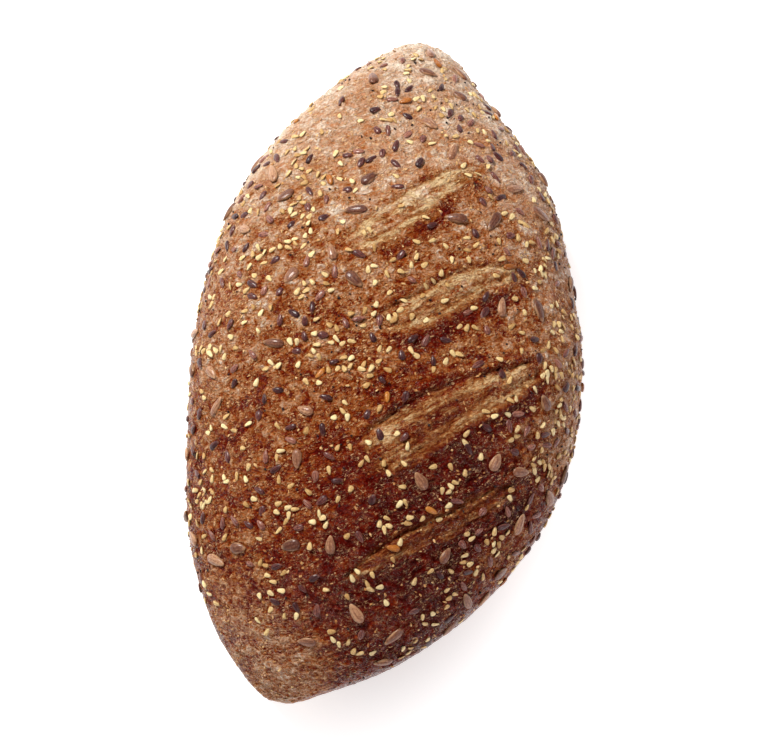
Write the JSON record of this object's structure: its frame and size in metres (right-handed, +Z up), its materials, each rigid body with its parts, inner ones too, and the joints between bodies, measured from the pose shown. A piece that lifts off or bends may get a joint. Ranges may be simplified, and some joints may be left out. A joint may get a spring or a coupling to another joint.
{
  "type": "multigrain bread loaf",
  "caption": "Uncut oval hearth loaf with tapered ends, slanting scores across the crown and a crust strewn with mixed seeds.",
  "frame": {"origin": "on the flat base, under the middle of the loaf, where the loaf rests", "axes": "+Y along the loaf towards its paler end, +Z up through the crown, +X to the side that the scores climb towards"},
  "size_m": [0.1603, 0.2835, 0.0859],
  "materials": {
    "crust": "baked brown crust, paler at one end, darker and glossier at the other, rough in the scores",
    "sesame": "hulled sesame, cream, satin",
    "flax": "brown linseed, dark and glossy",
    "golden_flax": "golden linseed, amber and glossy",
    "sunflower": "roasted sunflower kernel, grey brown, satin",
    "dark_seed": "small dark seeds, matt",
    "bran": "bran flakes and crumbs, pale brown, matt"
  },
  "bodies": {
    "root": {"loaf": "crust"}
  },
  "joints": []
}
